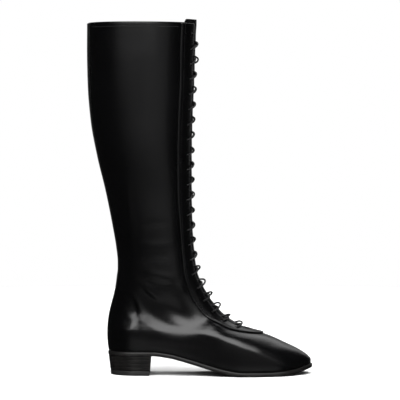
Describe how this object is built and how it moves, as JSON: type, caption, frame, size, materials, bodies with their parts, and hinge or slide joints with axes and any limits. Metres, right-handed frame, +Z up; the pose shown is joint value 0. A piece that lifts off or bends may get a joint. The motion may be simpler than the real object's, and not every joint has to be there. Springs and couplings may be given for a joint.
{
  "type": "tall lace-up boot",
  "caption": "Tall black leather lace-up boot for the right foot, knee high, with a long tongue, a lacing front, a back strip and a low stacked heel.",
  "frame": {"origin": "centre of the heel's tread face, on the floor", "axes": "+Z up along the shaft, +X towards the toe, +Y towards the inner side of the foot"},
  "size_m": [0.2871, 0.1038, 0.4506],
  "materials": {
    "black_leather": "smooth, semi-gloss",
    "facing_leather": "smooth, semi-gloss",
    "stay_leather": "smooth, semi-gloss",
    "tongue_leather": "soft, satin",
    "insole_leather": "matt",
    "sole_leather": "waxed, satin",
    "heel_leather": "waxed, satin",
    "tread_rubber": "matt",
    "lace_cord": "waxed cord"
  },
  "bodies": {
    "root": {"upper": "black_leather", "facing": "facing_leather", "backstay": "stay_leather", "tongue": "tongue_leather", "insole": "insole_leather", "outsole": "sole_leather", "heel_block": "heel_leather", "top_lift": "tread_rubber", "lace": "lace_cord"}
  },
  "joints": []
}
